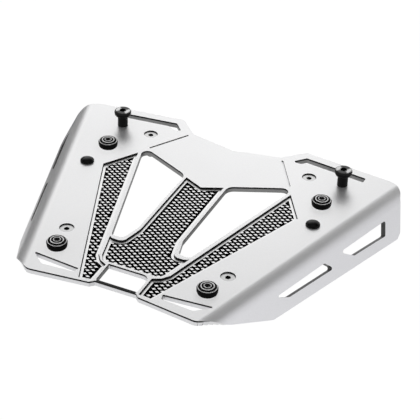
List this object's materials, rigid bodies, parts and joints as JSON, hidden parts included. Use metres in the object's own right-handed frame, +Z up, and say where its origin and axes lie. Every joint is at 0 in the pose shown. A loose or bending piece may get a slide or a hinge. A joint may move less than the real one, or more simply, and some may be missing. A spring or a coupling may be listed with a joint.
{
  "type": "top case mounting plate",
  "caption": "Folded aluminium plate with splayed slotted side flanges, diamond tread fields, windows, a latch opening, hook studs and rubber pads.",
  "frame": {"origin": "middle of the footprint, level with the lowest edge of the flanges", "axes": "X across the plate, +Y towards the end with the two studs, +Z up out of the deck"},
  "size_m": [0.3024, 0.239, 0.0447],
  "materials": {
    "sheet": "satin, silver anodised",
    "tread": "bright diamonds over dark grooves",
    "pad": "matte",
    "stud": "black, semi-matte",
    "plug": "matte",
    "hardware": "plain"
  },
  "bodies": {
    "root": {"plate": "sheet", "tread_centre": "tread", "tread_left": "tread", "tread_right": "tread", "pad_far_left": "pad", "pad_far_right": "pad", "pad_near_left": "pad", "pad_near_right": "pad", "stud_left": "stud", "stud_right": "stud", "washer_left": "hardware", "washer_right": "hardware", "lock_nut_left": "hardware", "lock_nut_right": "hardware", "plug_left": "plug", "plug_right": "plug", "screw_far_left": "hardware", "screw_far_right": "hardware", "screw_near_left": "hardware", "screw_near_right": "hardware"}
  },
  "joints": []
}
